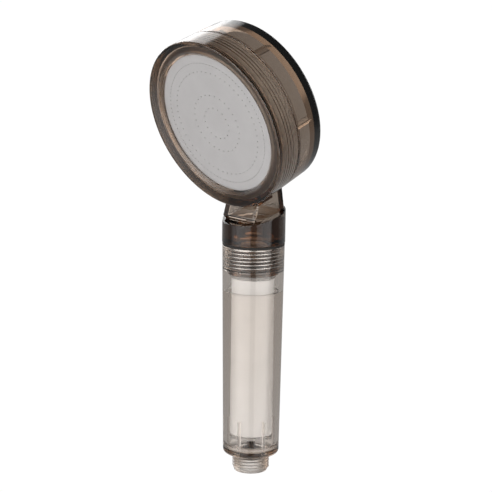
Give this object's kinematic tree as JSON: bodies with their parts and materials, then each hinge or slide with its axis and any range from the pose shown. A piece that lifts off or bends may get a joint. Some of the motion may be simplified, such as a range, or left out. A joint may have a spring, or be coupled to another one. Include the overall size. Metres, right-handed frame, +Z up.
{
  "type": "handheld shower head",
  "caption": "Handheld shower head with a round steel spray plate, a screwed face ring, a hollow neck and a clear handle that holds a filter cartridge.",
  "frame": {"origin": "middle of the hose nipple's open end, on the handle's axis", "axes": "+Z up along the handle, the spray face looks towards -Y and a little down, X across"},
  "size_m": [0.0976, 0.0655, 0.2559],
  "materials": {
    "clear_plastic": "clear, lightly smoked",
    "smoked_plastic": "clear, smoked brown",
    "cap_plastic": "translucent",
    "brown_plastic": "satin",
    "white_plastic": "satin",
    "cotton": "melt-blown fibre",
    "black_rubber": "matte",
    "spray_steel": "fine matte"
  },
  "bodies": {
    "handle": {"handle_tube": "clear_plastic", "inlet_ring": "brown_plastic"},
    "cartridge": {"filter_pin": "brown_plastic", "filter_bottom_cap": "cap_plastic", "filter_core": "white_plastic", "filter_sleeve": "cotton", "filter_top_cap": "cap_plastic", "filter_seal": "black_rubber", "neck_gasket": "black_rubber"},
    "head": {"rear_housing": "smoked_plastic"},
    "plate": {"spray_plate": "spray_steel", "plate_gasket": "black_rubber"},
    "ring": {"face_ring": "smoked_plastic"}
  },
  "joints": [
    {"name": "head_lift", "type": "slide", "parent": "handle", "child": "cartridge", "axis": [0, 0, 1], "range_m": [0, 0.012]},
    {"name": "head_turn", "type": "hinge", "parent": "cartridge", "child": "head", "pos_m": [0, 0, 0.132], "axis": [0, 0, 1], "range_deg": [0, 2163]},
    {"name": "ring_lift", "type": "slide", "parent": "head", "child": "plate", "axis": [0, -0.9441, -0.3297], "range_m": [0, 0.01]},
    {"name": "ring_turn", "type": "hinge", "parent": "plate", "child": "ring", "pos_m": [0, -0.03203, 0.20019], "axis": [0, -0.9441, -0.3297], "range_deg": [0, 1803]}
  ],
  "couplings": [
    {"joint": "head_turn", "follows": "head_lift", "rad_per_m": 3141.6},
    {"joint": "ring_turn", "follows": "ring_lift", "rad_per_m": 3141.6}
  ]
}
